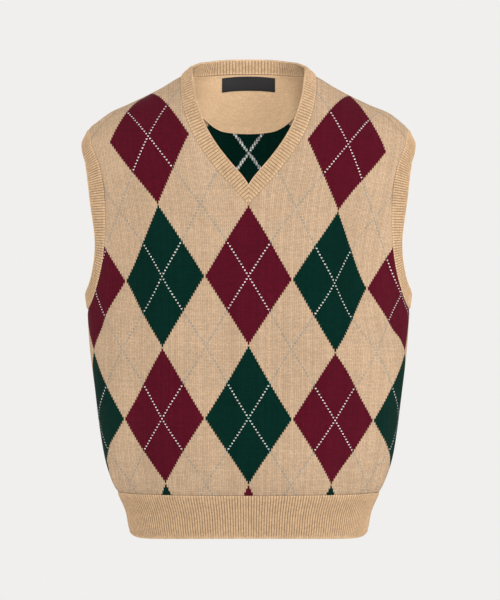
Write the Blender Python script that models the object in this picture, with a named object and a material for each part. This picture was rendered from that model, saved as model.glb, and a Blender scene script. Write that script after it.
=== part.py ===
"""A sleeveless V-neck sweater in jacquard knit, filled out as if worn.

Frame: X to the wearer's left, Y to the back, Z up, in metres. The origin is between the
two points where the shoulder seams meet the neck, which is where the wearer's shoulders
carry it. The garment is cut as a front and a back, a ribbed hem on each, a ribbed band
round the neck and round each armhole, a half-moon facing inside the back neck and a label.

Every wall follows one torso surface. A place on it has two coordinates: its turn, the
angle round the body from the centre line, and its climb, from 0 at the hem rib's seam to
1 on the shoulder ridge and past 1 where the cloth goes over the ridge.
"""

import math

import bmesh
import bpy
import numpy as np
from mathutils import Vector

# ---------------------------------------------------------------- driving sizes, metres
WALL = 0.0022  # knitted cloth
SEAM_GAP = 0.0003  # clear space between two pieces at a seam
RIB_RELIEF = 0.0009  # how far each rib stands out
HEM_RIB_PITCH = 0.0038
NECK_RIB_PITCH = 0.0045
ARMHOLE_RIB_PITCH = 0.0037

RIB_SEAM = -0.5905  # height where the body meets the hem rib
HEM_MIDDLE = -0.6220
HEM_EDGE = -0.6492
HEM_SIDE_DROP = 0.0040  # the hem edge hangs this much lower towards the sides
HEM_SEAM_RISE = 0.0065  # and is drawn up by this much close to the side seams

NECK_POINT_X = 0.0945  # where the shoulder seam meets the neck seam
V_POINT = -0.1940  # height of the neck seam's lowest point
V_LOWER_PULL = (0.0500, -0.1400)  # Bezier handles of the V, seen from the front
V_UPPER_PULL = (0.0955, -0.0950)
BACK_NECK = -0.0055  # height of the neck seam at the centre back
NECK_BAND_WIDTH = 0.0205
V_POINT_NARROWING = 0.34  # share of the width that the mitre takes at the V's point
V_POINT_SPREAD = 0.020

ARMHOLE_MIDDLE = -0.2130  # height of the armhole seam's middle
ARMHOLE_HALF_HEIGHT = 0.1260
ARMHOLE_FRONT = 0.0575  # how far the seam swings to the front and to the back
ARMHOLE_BACK = 0.0545
ARMHOLE_TAPER = 0.09  # narrower towards the shoulder by this share
ARMHOLE_SQUARENESS = 2.4
ARMHOLE_BAND_WIDTH = 0.0220
ARMHOLE_FLARE_TURN = 0.0400  # over this depth the lean goes from the front's to the back's
SHOULDER_SEAM_ANGLE = math.radians(32)  # how far forward the shoulder seam meets the armhole
UNDERARM = ARMHOLE_MIDDLE - ARMHOLE_HALF_HEIGHT

FACING_DEPTH = 0.0867  # below the neck seam at the centre back
FACING_SQUARENESS = 2.6
FACING_INSET = 0.0010  # below the neck seam
FACING_END_MARGIN = 0.2  # columns by which its half-moon is wider than the neck
FACING_ROWS = 5
FACING_WALL = 0.0012
LABEL_WIDTH = 0.0760
LABEL_HEIGHT = 0.0205
LABEL_INSET = 0.0030
LABEL_ROWS = 2
LABEL_WALL = 0.0010
LINING_GAP = 0.0008

BODY_SQUARENESS = 2.3  # 2 is an ellipse, more is flatter at the front and back
SHOULDER_CURVE = 0.090  # how soon cloth near the ridge turns downwards, for spacing rows
SHOULDER_ROLL = {"front": 0.090, "back": 0.080}  # height over which the shoulder rolls over

BACK_NECK_COLUMNS = 7  # steps along each edge of half a panel
SHOULDER_COLUMNS = 12
SIDE_ROWS = 10
ARMHOLE_ROWS = 14
V_ROWS = 12
EVENING_ROUNDS = 300

# The torso under the cloth, from the hem up.
BODY_SECTIONS = (
    # height, half_width, front_depth, back_depth
    (-0.6515, 0.1635, 0.1000, 0.0960),
    (-0.6370, 0.1665, 0.1020, 0.0980),
    (-0.6170, 0.1705, 0.1050, 0.1000),
    (-0.5945, 0.1805, 0.1100, 0.1040),
    (-0.5750, 0.1900, 0.1150, 0.1080),
    (-0.5470, 0.1992, 0.1180, 0.1100),
    (-0.5050, 0.2065, 0.1160, 0.1080),
    (-0.4500, 0.2130, 0.1120, 0.1050),
    (-0.3940, 0.2200, 0.1090, 0.1040),
    (-0.3390, 0.2238, 0.1070, 0.1050),
    (-0.2830, 0.2255, 0.1060, 0.1090),
    (-0.2280, 0.2262, 0.1030, 0.1130),
    (-0.1720, 0.2280, 0.0960, 0.1130),
    (-0.1170, 0.2330, 0.0860, 0.1050),
    (-0.0600, 0.2380, 0.0720, 0.0920),
    (0.0000, 0.2400, 0.0580, 0.0750),
    (0.0600, 0.2400, 0.0480, 0.0620),
)

# The shoulder ridge, seen from the front. Nearer than the neck point it is the neck's own rise.
SHOULDER_LINE = (
    # from_centre, height
    (0.0000, 0.0800),
    (0.0400, 0.0620),
    (0.0640, 0.0280),
    (0.0800, 0.0020),
    (0.0945, -0.0135),
    (0.1035, -0.0195),
    (0.1215, -0.0305),
    (0.1424, -0.0415),
    (0.1660, -0.0527),
    (0.1910, -0.0640),
    (0.2070, -0.0748),
    (0.2222, -0.0870),
    (0.2400, -0.1050),
)

# The armhole band's lean away from the torso, at its front and at its back: less than 0 is
# inwards, over the arm.
ARMHOLE_FLARE = (
    # height, front, back
    (-0.3400, 0.10, 0.10),
    (-0.3150, -0.14, -0.20),
    (-0.2900, -0.24, -0.33),
    (-0.2650, -0.26, -0.40),
    (-0.2420, -0.20, -0.38),
    (-0.2200, -0.05, -0.31),
    (-0.2000, 0.16, -0.22),
    (-0.1800, 0.34, -0.14),
    (-0.1600, 0.30, -0.15),
    (-0.1400, 0.12, -0.20),
    (-0.1200, -0.10, -0.28),
    (-0.1000, -0.26, -0.38),
    (-0.0870, -0.38, -0.40),
)

# Soft folds in the body. A turn is degrees from the centre line, positive to the wearer's
# left; lean is how many degrees the fold turns outwards for each metre it climbs.
FOLDS = (
    # side, turn, middle, length, width, lean, depth
    ("front", 62.0, -0.372, 0.130, 7.0, 190.0, -0.0045),
    ("front", 46.0, -0.345, 0.110, 7.0, 150.0, 0.0022),
    ("front", -66.0, -0.365, 0.120, 7.0, -170.0, -0.0030),
    ("front", -47.0, -0.560, 0.080, 6.0, 0.0, -0.0032),
    ("front", -26.0, -0.565, 0.070, 6.5, 0.0, -0.0022),
    ("front", 40.0, -0.562, 0.075, 6.5, 0.0, -0.0026),
    ("front", 66.0, -0.558, 0.085, 6.0, 20.0, -0.0034),
    ("front", -72.0, -0.556, 0.090, 6.0, -20.0, -0.0030),
    ("back", 24.0, -0.400, 0.330, 7.5, 25.0, -0.0042),
    ("back", -30.0, -0.420, 0.300, 7.5, -30.0, -0.0036),
    ("back", 64.0, -0.360, 0.140, 7.0, 160.0, -0.0046),
    ("back", -62.0, -0.355, 0.130, 7.0, -170.0, -0.0040),
    ("back", 50.0, -0.560, 0.085, 6.5, 0.0, -0.0034),
    ("back", 8.0, -0.562, 0.080, 6.0, 0.0, -0.0028),
    ("back", -20.0, -0.560, 0.075, 6.5, 0.0, -0.0030),
    ("back", -56.0, -0.558, 0.085, 6.0, 0.0, -0.0034),
)

OTHER_SIDE = {"front": "back", "back": "front"}
OUTWARD = {"front": -1.0, "back": 1.0}  # the sign of y


# ---------------------------------------------------------------- the torso surface
def read_table(table, value):
    """A table's row at this value of its first column, on smooth curves through its rows."""
    keys = [row[0] for row in table]
    value = min(max(value, keys[0]), keys[-1])
    at = next((i for i in range(len(keys) - 2) if value < keys[i + 1]), len(keys) - 2)
    span = keys[at + 1] - keys[at]
    share = (value - keys[at]) / span
    found = []
    for column in range(1, len(table[0])):
        slopes = []
        for row in (at, at + 1):
            low, high = max(row - 1, 0), min(row + 1, len(table) - 1)
            slopes.append((table[high][column] - table[low][column]) / (keys[high] - keys[low]))
        start, end = table[at][column], table[at + 1][column]
        found.append(
            start * (1 + 2 * share) * (1 - share) ** 2
            + end * share**2 * (3 - 2 * share)
            + slopes[0] * span * share * (1 - share) ** 2
            - slopes[1] * span * share**2 * (1 - share)
        )
    return found


def body_size(height):
    """The torso's half width and its depth at the front and the back, at one height."""
    half_width, front, back = read_table(BODY_SECTIONS, height)
    return half_width, {"front": front, "back": back}


def ridge_height(x):
    return read_table(SHOULDER_LINE, abs(x))[0]


def reach_of(drop):
    """The way down the cloth from the shoulder ridge to this drop below it."""
    return math.sqrt(drop * drop + 2 * SHOULDER_CURVE * drop)


def drop_of(reach):
    return math.hypot(SHOULDER_CURVE, reach) - SHOULDER_CURVE


def depth_at(side, x, height):
    """How far the torso stands out in front of the shoulder plane, or behind it."""
    half_width, depth = body_size(height)
    share = min(1.0, abs(x) / half_width)
    across = (1 - share**BODY_SQUARENESS) ** (1 / BODY_SQUARENESS)
    drop = max(0.0, ridge_height(x) - height)
    rolled = max(0.0, across - drop / SHOULDER_ROLL[side])
    return depth[side] * math.sqrt(max(0.0, across**2 - rolled**2))


def fold_depth(side, turn, height):
    """How far the folds move the cloth out here."""
    moved = 0.0
    for fold_side, fold_turn, middle, length, width, lean, depth in FOLDS:
        if fold_side != side:
            continue
        along = abs(height - middle) / (length / 2)
        if along >= 1:
            continue
        off = (math.degrees(turn) - fold_turn - lean * (height - middle)) / width
        moved += depth * math.exp(-off * off) * (1 - along**2) ** 2
    return moved


def surface(side, turn, climb):
    """The point of the cloth's outer face at these coordinates."""
    mirror = -1.0 if turn < 0 else 1.0
    turn = abs(turn)
    if turn > math.pi / 2:
        side, turn = OTHER_SIDE[side], math.pi - turn
    height = RIB_SEAM * (1 - min(climb, 1.0))
    for _ in range(12):
        half_width, depth = body_size(height)
        x = half_width * math.sin(turn)
        reach = reach_of(ridge_height(x) - RIB_SEAM) * (1 - climb)
        height = ridge_height(x) - drop_of(reach)
    if reach < 0:
        side = OTHER_SIDE[side]
    y = OUTWARD[side] * depth_at(side, x, height)
    out = Vector((x / half_width**2, y / depth[side] ** 2, 0.0))
    if out.length > 0:
        out.normalize()
    base = Vector((x, y, height)) + out * fold_depth(side, mirror * turn, height)
    return Vector((mirror * base.x, base.y, base.z))


def normal_at(side, turn, climb):
    """The surface's outward direction, the same for two pieces that meet here."""
    step = 1e-3
    across = surface(side, turn + step, climb) - surface(side, turn - step, climb)
    up = surface(side, turn, climb + step) - surface(side, turn, climb - step)
    return (across.cross(up) * -OUTWARD[side]).normalized()


def coordinates(side, x, y, height):
    """The turn and climb of a point of the torso, as a piece of this side counts them."""
    half_width, _ = body_size(height)
    ridge = ridge_height(x)
    reach = reach_of(max(0.0, ridge - height))
    if y * OUTWARD[side] < 0:
        reach = -reach
    turn = math.asin(max(-1.0, min(1.0, x / half_width)))
    return turn, 1 - reach / reach_of(ridge - RIB_SEAM)


def across_at(side, depth, height):
    """The x of the torso where it stands this far out, at one height."""
    low, high = 0.10, 0.24
    for _ in range(50):
        middle = (low + high) / 2
        if ridge_height(middle) > height and depth_at(side, middle, height) > depth:
            low = middle
        else:
            high = middle
    return (low + high) / 2


# ---------------------------------------------------------------- seam lines
def v_seam(share):
    """Turn and climb along the front neck seam, from the V's point to the neck point."""
    top = (NECK_POINT_X, ridge_height(NECK_POINT_X))
    places = ((0.0, V_POINT), V_LOWER_PULL, V_UPPER_PULL, top)
    weights = ((1 - share) ** 3, 3 * (1 - share) ** 2 * share, 3 * (1 - share) * share**2, share**3)
    x, height = (sum(w * p[axis] for w, p in zip(weights, places)) for axis in (0, 1))
    return coordinates("front", x, OUTWARD["front"], height)


def back_neck_height(x):
    drop = ridge_height(NECK_POINT_X) - BACK_NECK
    return BACK_NECK + drop * (abs(x) / NECK_POINT_X) ** 3


def back_neck_seam(share):
    """Turn and climb along the back neck seam, from the centre back to the neck point."""
    x = NECK_POINT_X * math.sin(share * math.pi / 2)
    return coordinates("back", x, OUTWARD["back"], back_neck_height(x))


def armhole_seam(side, angle):
    """Turn and climb on the armhole seam, at an angle from its top, positive to the front."""
    power = 2 / ARMHOLE_SQUARENESS
    up = math.copysign(abs(math.cos(angle)) ** power, math.cos(angle))
    swing = ARMHOLE_FRONT if angle > 0 else ARMHOLE_BACK
    depth = swing * (1 - ARMHOLE_TAPER * up) * abs(math.sin(angle)) ** power
    height = ARMHOLE_MIDDLE + ARMHOLE_HALF_HEIGHT * up
    own_side = "front" if angle > 0 else "back"
    x = across_at(own_side, depth, height)
    return coordinates(side, x, OUTWARD[own_side], height)


def shoulder_seam(side, share):
    """Turn and climb on the shoulder seam, from the neck point to the armhole."""
    neck_turn, _ = v_seam(1.0)
    tip_turn, tip_climb = armhole_seam("front", SHOULDER_SEAM_ANGLE)
    forward = (1 - tip_climb) * share**1.5
    turn = neck_turn + (tip_turn - neck_turn) * share
    return turn, (1 - forward if side == "front" else 1 + forward)


def panel_outline(side):
    """The four edges of half a panel: bottom, top, inner and outer."""
    shoulder = [shoulder_seam(side, i / SHOULDER_COLUMNS) for i in range(SHOULDER_COLUMNS + 1)]
    rows = SIDE_ROWS + ARMHOLE_ROWS
    if side == "front":
        top = shoulder
        centre_rows = rows - V_ROWS
        inner = [(0.0, v_seam(0.0)[1] * j / centre_rows) for j in range(centre_rows)]
        inner += [v_seam(j / V_ROWS) for j in range(V_ROWS + 1)]
    else:
        neck = [back_neck_seam(i / BACK_NECK_COLUMNS) for i in range(BACK_NECK_COLUMNS)]
        top = neck + shoulder
        inner = [(0.0, top[0][1] * j / rows) for j in range(rows + 1)]
    columns = len(top) - 1
    bottom = [(math.pi / 2 * i / columns, 0.0) for i in range(columns + 1)]
    _, underarm = coordinates(side, body_size(UNDERARM)[0], 0.0, UNDERARM)
    outer = [(math.pi / 2, underarm * j / SIDE_ROWS) for j in range(SIDE_ROWS + 1)]
    start = math.pi if side == "front" else -math.pi
    for j in range(1, ARMHOLE_ROWS + 1):
        outer.append(armhole_seam(side, start + (SHOULDER_SEAM_ANGLE - start) * j / ARMHOLE_ROWS))
    return bottom, top, inner, outer


def panel_places(side):
    """A grid of turns and climbs over half a panel, blended from its four edges."""
    bottom, top, inner, outer = (np.array(edge) for edge in panel_outline(side))
    t = np.linspace(0, 1, len(inner))[:, None, None]
    s = np.linspace(0, 1, len(bottom))[None, :, None]
    grid = (1 - t) * bottom[None] + t * top[None] + (1 - s) * inner[:, None] + s * outer[:, None]
    grid -= (1 - s) * ((1 - t) * bottom[0] + t * top[0]) + s * ((1 - t) * bottom[-1] + t * top[-1])
    return even_out(grid)


def even_out(grid):
    """Relaxes a grid inside its edges by Winslow's equations, which keep its cells from folding."""
    scale = np.array((body_size(UNDERARM)[0], -RIB_SEAM))
    grid = grid * scale
    for _ in range(EVENING_ROUNDS):
        across = (grid[1:-1, 2:] - grid[1:-1, :-2]) / 2
        up = (grid[2:, 1:-1] - grid[:-2, 1:-1]) / 2
        corner = (grid[2:, 2:] - grid[2:, :-2] - grid[:-2, 2:] + grid[:-2, :-2]) / 4
        a = (up * up).sum(-1, keepdims=True)
        b = (across * up).sum(-1, keepdims=True)
        c = (across * across).sum(-1, keepdims=True)
        sides = a * (grid[1:-1, 2:] + grid[1:-1, :-2]) + c * (grid[2:, 1:-1] + grid[:-2, 1:-1])
        grid[1:-1, 1:-1] = (sides - 2 * b * corner) / (2 * (a + c))
    return [[(float(turn), float(climb)) for turn, climb in row] for row in grid / scale]


# ---------------------------------------------------------------- panels and their seams
def panel_halves(side):
    """Half grids of (point, outward), each from the centre out and from the hem up."""
    places = panel_places(side)
    halves = {}
    for half, sign in (("left", 1.0), ("right", -1.0)):
        mirrored = [[(sign * turn, climb) for turn, climb in row] for row in places]
        halves[half] = [[(surface(side, *p), normal_at(side, *p)) for p in row] for row in mirrored]
    return halves


def neck_edge(side, rows):
    """Half a panel's edge at the neck, from the centre to the neck point."""
    if side == "front":
        return [row[0] for row in rows[-1 - V_ROWS :]]
    return rows[-1][: BACK_NECK_COLUMNS + 1]


def shoulder_edge(side, rows):
    return rows[-1] if side == "front" else rows[-1][BACK_NECK_COLUMNS:]


def side_edge(rows):
    return [row[-1] for row in rows]


def joined(right, left):
    """One line from the wearer's right to the left, of two that start at the centre."""
    return right[:0:-1] + left


def neck_seam(front, back):
    """The closed neck seam from the V's point, up the wearer's left and round the back."""
    left_front, right_front = (neck_edge("front", front[half]) for half in ("left", "right"))
    left_back, right_back = (neck_edge("back", back[half]) for half in ("left", "right"))
    return left_front + left_back[-2::-1] + right_back[1:] + right_front[-2:0:-1]


def armhole_seam_loop(front_rows, back_rows):
    """The closed armhole seam, down the front edge and up the back one."""
    return side_edge(front_rows[:SIDE_ROWS:-1]) + side_edge(back_rows[SIDE_ROWS:-1])


# ---------------------------------------------------------------- walls
def edge_offsets(line, closed=False, flip=1.0):
    """For each (point, outward) of a seam line, the mitred unit step across it in the cloth."""
    count = len(line)
    sides = []
    for k in range(count if closed else count - 1):
        here, there = line[k], line[(k + 1) % count]
        along = (there[0] - here[0]).normalized()
        sides.append(((here[1] + there[1]).cross(along) * flip).normalized())
    offsets = []
    for k in range(count):
        before = sides[k - 1] if closed or k > 0 else sides[0]
        after = sides[k] if closed or k < count - 1 else sides[-1]
        offsets.append((before + after) / (1 + before.dot(after)))
    return offsets


def make_object(name, build, material):
    mesh = bpy.data.meshes.new(name)
    bm = bmesh.new()
    build(bm)
    bmesh.ops.triangulate(bm, faces=bm.faces[:])
    bmesh.ops.recalc_face_normals(bm, faces=bm.faces[:])
    bm.to_mesh(mesh)
    bm.free()
    mesh.materials.append(material)
    mesh.shade_smooth()
    mesh.set_sharp_from_angle(angle=math.radians(50))
    item = bpy.data.objects.new(name, mesh)
    garment.objects.link(item)
    return item


def spot(point):
    """A key that is the same for coinciding points."""
    return tuple(round(value * 1e6) for value in point)


def cloth_wall(bm, patches, thickness, moves):
    """A closed wall: patches of (outer point, outward) that share edges, thickened inwards."""
    outer, inner = {}, {}
    for rows in patches:
        for point, out in (cell for row in rows for cell in row):
            if spot(point) not in outer:
                moved = point + moves.get(spot(point), Vector())
                outer[spot(point)] = bm.verts.new(moved)
                inner[spot(point)] = bm.verts.new(moved - out * thickness)
        for low, high in zip(rows, rows[1:]):
            for i in range(len(low) - 1):
                corners = [spot(cell[0]) for cell in (low[i], low[i + 1], high[i + 1], high[i])]
                bm.faces.new([outer[corner] for corner in corners])
                bm.faces.new([inner[corner] for corner in reversed(corners)])
    twins = {outer[key]: inner[key] for key in outer}
    for edge in [edge for edge in bm.edges if edge.is_boundary and edge.verts[0] in twins]:
        first, second = edge.verts
        bm.faces.new((first, second, twins[second], twins[first]))


def ribbed_wall(bm, stations, pitch, closed):
    """A closed wall with ribs. A station is a list of (outer point, outward) across the band."""
    inner = [[bm.verts.new(p - out * WALL) for p, out in station] for station in stations]
    outer = [[bm.verts.new(p) for p, _ in station] for station in stations]
    count = len(stations)
    strips = len(stations[0]) - 1
    walked = 0.0
    for k in range(count if closed else count - 1):
        n = (k + 1) % count
        here, there = stations[k], stations[n]
        length = (there[0][0] - here[0][0]).length
        ribs = max(1, round((walked + length) / pitch) - round(walked / pitch))
        walked += length
        lines = [outer[k]]
        for step in range(1, 2 * ribs):
            share = step / (2 * ribs)
            lift = RIB_RELIEF if step % 2 else 0.0
            line = []
            for (a, out_a), (b, out_b) in zip(here, there):
                line.append(bm.verts.new(a.lerp(b, share) + out_a.lerp(out_b, share) * lift))
            lines.append(line)
        lines.append(outer[n])
        for first, second in zip(lines, lines[1:]):
            for j in range(strips):
                bm.faces.new((first[j], second[j], second[j + 1], first[j + 1]))
        for j in range(strips):
            bm.faces.new((inner[k][j], inner[k][j + 1], inner[n][j + 1], inner[n][j]))
        for j in (0, strips):
            bm.faces.new([line[j] for line in lines] + [inner[n][j], inner[k][j]])
    if not closed:
        for k in (0, count - 1):
            for j in range(strips):
                bm.faces.new((outer[k][j], outer[k][j + 1], inner[k][j + 1], inner[k][j]))


def panel(side, halves, material):
    """The front or the back, drawn in from each seam by half the seam gap."""
    right, left = halves["right"], halves["left"]
    seams = (
        (joined(right[0], left[0]), 1.0),
        (joined(neck_edge(side, right), neck_edge(side, left)), -1.0),
        (shoulder_edge(side, right)[::-1], -1.0),
        (shoulder_edge(side, left), -1.0),
        (side_edge(right), -1.0),
        (side_edge(left), 1.0),
    )
    moves = {}
    for line, turned in seams:
        for (point, _), step in zip(line, edge_offsets(line, flip=-OUTWARD[side] * turned)):
            moves[spot(point)] = moves.get(spot(point), Vector()) + step * (SEAM_GAP / 2)
    make_object(side + "_panel", lambda bm: cloth_wall(bm, (right, left), WALL, moves), material)


def hem_rise(turn):
    side = abs(math.sin(turn))
    return HEM_SEAM_RISE * side**24 - HEM_SIDE_DROP * side**2


def hem_rib(side, seam, material):
    """The ribbed welt under one panel, narrower than the body and drawn in at its edge."""
    rows = [[(point - Vector((0, 0, SEAM_GAP / 2)), out) for point, out in seam]]
    columns = len(seam) - 1
    for height in (HEM_MIDDLE, HEM_EDGE):
        half_width, depth = body_size(height)
        row = []
        for i in range(columns + 1):
            turn = math.pi * (i / columns - 0.5)
            x = half_width * math.sin(turn)
            y = OUTWARD[side] * depth_at(side, x, height)
            out = Vector((x / half_width**2, y / depth[side] ** 2, 0.0)).normalized()
            row.append((Vector((x, y, height + hem_rise(turn) * (height == HEM_EDGE))), out))
        rows.append(row)
    ahead = Vector((0.0, -OUTWARD[side] * SEAM_GAP / 2, 0.0))
    for row in rows:
        for i in (0, columns):
            row[i] = (row[i][0] - ahead, row[i][1])
    stations = [[row[i] for row in rows] for i in range(columns + 1)]
    make_object(
        side + "_hem_rib", lambda bm: ribbed_wall(bm, stations, HEM_RIB_PITCH, False), material
    )


def band(name, seam, widths, flares, pitch, material):
    """A ribbed band on a closed seam. A flare tips its free edge away from the torso."""
    stations = []
    for (point, out), step, width, flare in zip(seam, edge_offsets(seam, True), widths, flares):
        ahead = step.normalized()
        lean = (ahead + out * flare).normalized() * step.length
        rim = point + step * (SEAM_GAP / 2)
        stations.append([(rim, out), (rim + lean * width, (out - ahead * flare).normalized())])
    make_object(name, lambda bm: ribbed_wall(bm, stations, pitch, True), material)


def neck_band(front, back, material):
    seam = neck_seam(front, back)
    start = seam[0][0]
    widths = []
    for point, _ in seam:
        near = math.exp(-(((point - start).length / V_POINT_SPREAD) ** 2))
        widths.append(NECK_BAND_WIDTH * (1 - V_POINT_NARROWING * near))
    band("neck_band", seam, widths, [0.0] * len(seam), NECK_RIB_PITCH, material)


def armhole_flare(point):
    front, back = read_table(ARMHOLE_FLARE, point.z)
    share = min(1.0, max(0.0, 0.5 + point.y / ARMHOLE_FLARE_TURN))
    return front + (back - front) * share


def armhole_band(half, front, back, material):
    seam = armhole_seam_loop(front[half], back[half])
    if half == "right":
        seam.reverse()
    flares = [armhole_flare(point) for point, _ in seam]
    widths = [ARMHOLE_BAND_WIDTH] * len(seam)
    band(half + "_armhole_band", seam, widths, flares, ARMHOLE_RIB_PITCH, material)


# ---------------------------------------------------------------- inside the back neck
def place_on(grid, column, row):
    """A (point, outward) between the points of a grid."""
    i, j = min(int(column), len(grid[0]) - 2), min(int(row), len(grid) - 2)
    s, t = column - i, row - j
    low, high = (
        [here.lerp(there, s) for here, there in zip(grid[k][i], grid[k][i + 1])]
        for k in (j, j + 1)
    )
    return tuple(a.lerp(b, t) for a, b in zip(low, high))


def row_at_depth(grid, column, depth):
    """How many rows up from the bottom a column of the grid lies this far below its top."""
    row = len(grid) - 1.0
    walked = 0.0
    while row >= 1:
        here, below = place_on(grid, column, row)[0], place_on(grid, column, row - 1)[0]
        length = (here - below).length
        if walked + length >= depth:
            return row - (depth - walked) / length
        walked += length
        row -= 1
    return 0.0


def patch(name, under, columns, depths, rows, sunk, thickness, material):
    """A thin piece on the inside of a grid of points. depths gives its top and bottom edge."""
    grid = []
    for j in range(rows + 1):
        line = []
        for column, (top, bottom) in zip(columns, depths):
            depth = bottom + (top - bottom) * j / rows
            point, out = place_on(under, column, row_at_depth(under, column, depth))
            line.append((point - out.normalized() * sunk, out.normalized()))
        grid.append(line)
    make_object(name, lambda bm: cloth_wall(bm, [grid], thickness, {}), material)
    return grid


def neck_facing(back, material):
    whole = [joined(right, left) for right, left in zip(back["right"], back["left"])]
    middle = len(whole[0]) // 2
    columns, depths = [], []
    for i in range(-BACK_NECK_COLUMNS, BACK_NECK_COLUMNS + 1):
        share = abs(i) / (BACK_NECK_COLUMNS + FACING_END_MARGIN)
        full = (1 - share**FACING_SQUARENESS) ** (1 / FACING_SQUARENESS)
        columns.append(middle + i)
        depths.append((FACING_INSET, FACING_DEPTH * full))
    sunk = WALL + LINING_GAP
    return patch("neck_facing", whole, columns, depths, FACING_ROWS, sunk, FACING_WALL, material)


def woven_label(facing, material):
    middle = len(facing[0]) // 2
    reach = next(
        i / 20
        for i in range(20 * middle)
        if place_on(facing, middle + i / 20, len(facing) - 1)[0].x > LABEL_WIDTH / 2
    )
    columns = [middle - reach, *range(middle - int(reach), middle + int(reach) + 1), middle + reach]
    depths = [(LABEL_INSET, LABEL_INSET + LABEL_HEIGHT)] * len(columns)
    sunk = FACING_WALL + LINING_GAP
    patch("woven_label", facing, columns, depths, LABEL_ROWS, sunk, LABEL_WALL, material)


# ---------------------------------------------------------------- the garment
def new_material(name, colour, roughness):
    material = bpy.data.materials.new(name)
    material.use_nodes = True
    shader = material.node_tree.nodes["Principled BSDF"]
    shader.inputs["Base Color"].default_value = (*colour, 1.0)
    shader.inputs["Roughness"].default_value = roughness
    shader.inputs["Metallic"].default_value = 0.0
    return material


for leftover in list(bpy.data.objects):
    bpy.data.objects.remove(leftover)
garment = bpy.data.collections.new("argyle_sweater_vest")
bpy.context.scene.collection.children.link(garment)


def build_garment():
    jacquard = new_material("argyle_knit", (0.33, 0.06, 0.08), 0.9)
    tan_rib = new_material("tan_rib", (0.60, 0.41, 0.23), 0.9)
    tan_jersey = new_material("tan_jersey", (0.66, 0.46, 0.27), 0.9)
    satin = new_material("label_satin", (0.012, 0.012, 0.014), 0.45)
    front, back = (panel_halves(side) for side in ("front", "back"))
    for side, halves in (("front", front), ("back", back)):
        panel(side, halves, jacquard)
        hem_rib(side, joined(halves["right"][0], halves["left"][0]), tan_rib)
    neck_band(front, back, tan_rib)
    for half in ("left", "right"):
        armhole_band(half, front, back, tan_rib)
    facing = neck_facing(back, tan_jersey)
    woven_label(facing, satin)


build_garment()
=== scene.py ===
"""The looks of a sleeveless V-neck argyle sweater, filled out as if worn.

Frame: X to the wearer's left, Y to the back, Z up, in metres, with the origin between the
points where the shoulder seams meet the neck. The walls follow one torso surface, whose
coordinates are the turn round the body from the centre line and the climb, from 0 at the
hem rib's seam to 1 on the shoulder ridge. A side of the torso is its sign of y: FRONT, BACK.
"""
import math

import bmesh
import bpy
import mathutils
import numpy as np
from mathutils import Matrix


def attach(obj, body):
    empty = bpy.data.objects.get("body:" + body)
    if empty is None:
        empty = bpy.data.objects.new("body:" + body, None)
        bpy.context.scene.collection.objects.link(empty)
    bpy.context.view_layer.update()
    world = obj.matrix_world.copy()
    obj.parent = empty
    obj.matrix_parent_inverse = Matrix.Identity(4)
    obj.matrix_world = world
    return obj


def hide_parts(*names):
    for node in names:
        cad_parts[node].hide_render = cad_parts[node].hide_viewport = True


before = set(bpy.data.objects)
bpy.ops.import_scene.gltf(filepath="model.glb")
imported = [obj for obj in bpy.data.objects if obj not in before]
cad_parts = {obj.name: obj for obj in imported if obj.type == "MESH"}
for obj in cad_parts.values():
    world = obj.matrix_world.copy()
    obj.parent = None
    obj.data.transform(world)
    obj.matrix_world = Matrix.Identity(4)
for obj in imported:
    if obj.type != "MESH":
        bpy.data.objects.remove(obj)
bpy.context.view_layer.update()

FRONT, BACK = -1.0, 1.0
SIDES = {FRONT: "front", BACK: "back"}

# ---------- sizes, metres
WALL = 0.0022
SEAM_GAP = 0.0002
SEAM_DIP = 0.0011  # how deep a sewn edge is drawn in
SEAM_DIP_WIDTH = 0.0040

RIB_SEAM = -0.5905
HEM_EDGE = -0.6492
HEM_SIDE_DROP = 0.0040
HEM_SEAM_RISE = 0.0065
HEM_RISE_SHARPNESS = 24

NECK_POINT_X = 0.0945
V_POINT = -0.1940
V_LOWER_PULL = (0.0500, -0.1400)
V_UPPER_PULL = (0.0955, -0.0950)
BACK_NECK = -0.0055
NECK_BAND_WIDTH = 0.0205
V_POINT_NARROWING = 0.34
V_POINT_SPREAD = 0.020

ARMHOLE_MIDDLE = -0.2130
ARMHOLE_HALF_HEIGHT = 0.1260
ARMHOLE_FRONT = 0.0575
ARMHOLE_BACK = 0.0545
ARMHOLE_TAPER = 0.09
ARMHOLE_SQUARENESS = 2.4
ARMHOLE_BAND_WIDTH = 0.0220
ARMHOLE_FLARE_TURN = 0.0400  # over this depth the lean goes from the front's to the back's
SHOULDER_SEAM_ANGLE = math.radians(32)
UNDERARM = ARMHOLE_MIDDLE - ARMHOLE_HALF_HEIGHT

HEM_RIB_PITCH = 0.0038
NECK_RIB_PITCH = 0.0045
ARMHOLE_RIB_PITCH = 0.0037
ROW_ON_RIB = 0.0019
SEWN_WIDTH = 0.0022  # over which the ribs rise out of a seam
BEAD_RELIEF = 0.0004  # of a bound-off edge
# How far ribs stand out, how wide their bound-off edge is, and over what width they end at it.
HEM_RIB = {"relief": 0.0012, "bead": 0.0030, "fade": 0.0020}
BAND_RIB = {"relief": 0.0010, "bead": 0.0016, "fade": 0.0015}

FACING_DEPTH = 0.0867
FACING_SQUARENESS = 2.6
FACING_INSET = 0.0010
FACING_WALL = 0.0012
FACING_WIDER = 1.03  # its half-moon is this many times as wide as the neck
FACING_RIM = 0.0018  # its turned lower edge
FACING_WALE = 0.0015
FACING_ROW = 0.0013
LINING_GAP = 0.0004
LABEL_WIDTH = 0.0750
LABEL_HEIGHT = 0.0205
LABEL_INSET = 0.0020
LABEL_WALL = 0.0007
LABEL_BOW = 0.0019  # how much lower its ends are
LABEL_PUFF = 0.0004
LABEL_HEM = 0.0020  # along its top and bottom, where it doesn't puff out
LABEL_FOLD = 0.0030  # the same at its ends
LABEL_THREAD = 0.0004

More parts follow.
